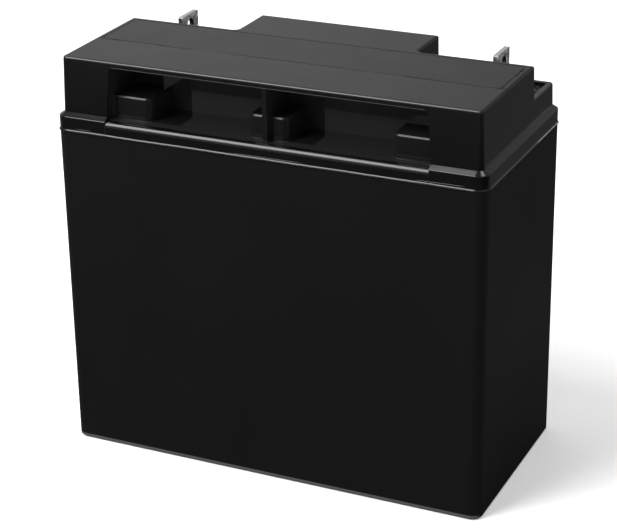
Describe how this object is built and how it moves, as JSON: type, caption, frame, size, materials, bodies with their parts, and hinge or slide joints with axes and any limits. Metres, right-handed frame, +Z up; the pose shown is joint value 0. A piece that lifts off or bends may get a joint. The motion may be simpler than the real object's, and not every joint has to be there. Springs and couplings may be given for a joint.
{
  "type": "agm battery",
  "caption": "Black block battery, valve-regulated lead-acid, with a hand-grip recess in the lid and a flag terminal in each rear corner.",
  "frame": {"origin": "centre of the base, on the surface it stands on", "axes": "+X along the row of cells towards the positive terminal, -Y towards the hand-grip recess, +Z up"},
  "size_m": [0.181, 0.087, 0.167],
  "materials": {
    "container_plastic": "black moulded, satin",
    "lid_plastic": "black moulded, fine grain on top",
    "cover_plastic": "black moulded, fine grain",
    "terminal_metal": "tin plated, mottled",
    "positive_resin": "poured, grainy",
    "negative_resin": "poured, grainy",
    "lead": "cast lead and dull paste",
    "glass_mat": "white glass felt",
    "valve_rubber": "soft black"
  },
  "bodies": {
    "root": {"container": "container_plastic", "lid": "lid_plastic", "vent_cover": "cover_plastic", "positive_terminal": "terminal_metal", "negative_terminal": "terminal_metal", "positive_resin": "positive_resin", "negative_resin": "negative_resin", "cell_1_positive_plates": "lead", "cell_1_negative_plates": "lead", "cell_2_positive_plates": "lead", "cell_2_negative_plates": "lead", "cell_3_positive_plates": "lead", "cell_3_negative_plates": "lead", "cell_4_positive_plates": "lead", "cell_4_negative_plates": "lead", "cell_5_positive_plates": "lead", "cell_5_negative_plates": "lead", "cell_6_positive_plates": "lead", "cell_6_negative_plates": "lead", "intercell_connector_1": "lead", "intercell_connector_2": "lead", "intercell_connector_3": "lead", "intercell_connector_4": "lead", "intercell_connector_5": "lead", "cell_1_separators": "glass_mat", "cell_2_separators": "glass_mat", "cell_3_separators": "glass_mat", "cell_4_separators": "glass_mat", "cell_5_separators": "glass_mat", "cell_6_separators": "glass_mat", "valve_caps": "valve_rubber", "pole_rings": "valve_rubber"}
  },
  "joints": []
}
